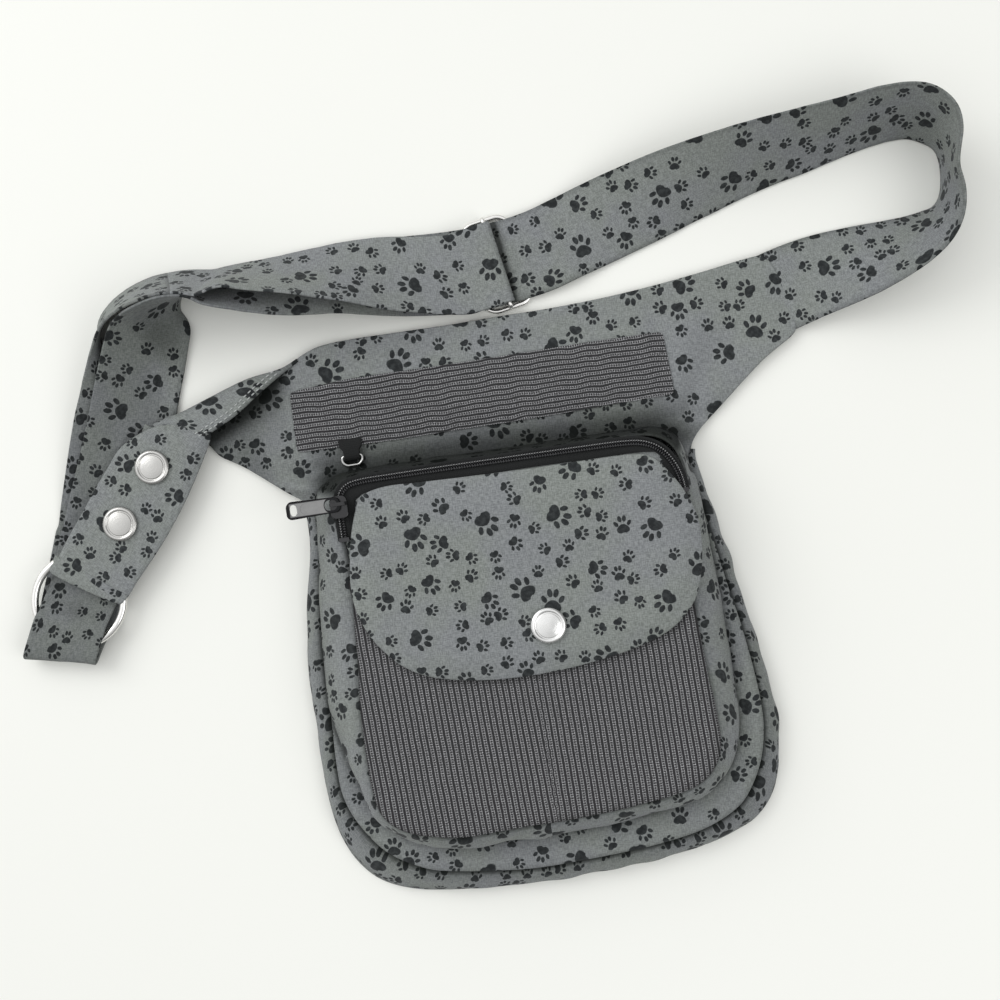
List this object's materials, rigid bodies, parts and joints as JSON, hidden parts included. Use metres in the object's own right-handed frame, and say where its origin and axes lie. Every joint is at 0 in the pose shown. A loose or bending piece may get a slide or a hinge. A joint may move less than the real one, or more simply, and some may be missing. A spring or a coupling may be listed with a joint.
{
  "type": "treat pouch",
  "caption": "Flat cloth hip pouch with a flapped and zipped front pocket, a wide waist belt, a ring with a press-snap tab and a wire slider buckle.",
  "frame": {"origin": "on the back panel's outer face, at the middle of the pouch", "axes": "+X across the pouch towards the belt's plain wing, +Y from the pouch's foot to its yoke, +Z out of the front"},
  "size_m": [0.4977, 0.3667, 0.0421],
  "materials": {
    "pawprint_cloth": "matt",
    "grey_lining": "matt",
    "black_mesh": "satin",
    "black_tape": "matt",
    "black_webbing": "matt",
    "nylon_coil": "satin",
    "nickel": "polished"
  },
  "bodies": {
    "pouch": {"back_panel": "pawprint_cloth", "main_front_panel": "pawprint_cloth", "main_gusset": "pawprint_cloth", "pocket_gusset": "pawprint_cloth", "zip_tape_outer": "pawprint_cloth", "zip_tape_inner": "black_tape", "zip_coil": "nylon_coil", "zip_stops": "nickel", "pocket_front_panel": "pawprint_cloth", "mesh_pocket": "black_mesh", "pocket_snap_stud": "nickel", "pocket_snap_post": "nickel", "mesh_strip": "black_mesh", "clip_tab": "black_webbing", "tab_strap": "pawprint_cloth", "tab_snap_studs": "nickel", "tab_snap_posts": "nickel", "belt_strap": "pawprint_cloth"},
    "flap": {"flap_outer": "pawprint_cloth", "flap_lining": "grey_lining", "flap_snap_cap": "nickel", "flap_snap_socket": "nickel"},
    "zip_slider_body": {"zip_slider": "nickel"},
    "zip_pull_body": {"zip_pull": "nickel"},
    "clip_ring_body": {"clip_ring": "nickel"},
    "tab_end_body": {"tab_end": "pawprint_cloth", "tab_snap_caps": "nickel", "tab_snap_sockets": "nickel"},
    "o_ring_body": {"o_ring": "nickel"},
    "buckle": {"triglide_frame": "nickel", "triglide_bar": "nickel", "belt_end_loop": "pawprint_cloth"}
  },
  "joints": [
    {"name": "flap_hinge", "type": "hinge", "parent": "pouch", "child": "flap", "pos_m": [0, 0.0975, 0.03715], "axis": [-1, 0, 0], "range_deg": [0, 160]},
    {"name": "zip_slide", "type": "slide", "parent": "pouch", "child": "zip_slider_body", "axis": [0, 1, 0], "range_m": [-0.008, 0]},
    {"name": "pull_hinge", "type": "hinge", "parent": "zip_slider_body", "child": "zip_pull_body", "pos_m": [-0.0816, 0.095, 0.0385], "axis": [0, 1, 0], "range_deg": [0, 120]},
    {"name": "clip_ring_pivot", "type": "hinge", "parent": "pouch", "child": "clip_ring_body", "pos_m": [-0.0755, 0.1183, 0.005], "axis": [-1, 0, 0], "range_deg": [0, 110]},
    {"name": "tab_peel", "type": "hinge", "parent": "pouch", "child": "tab_end_body", "pos_m": [-0.20909, 0.07982, 0.01165], "axis": [0.7912, -0.6115, 0], "range_deg": [0, 150]},
    {"name": "ring_turn", "type": "hinge", "parent": "pouch", "child": "o_ring_body", "pos_m": [-0.219, 0.067, 0.008], "axis": [0, 0, 1], "continuous": true},
    {"name": "buckle_slide", "type": "slide", "parent": "pouch", "child": "buckle", "axis": [0.9848, 0.1736, 0], "range_m": [0, 0.015]}
  ]
}
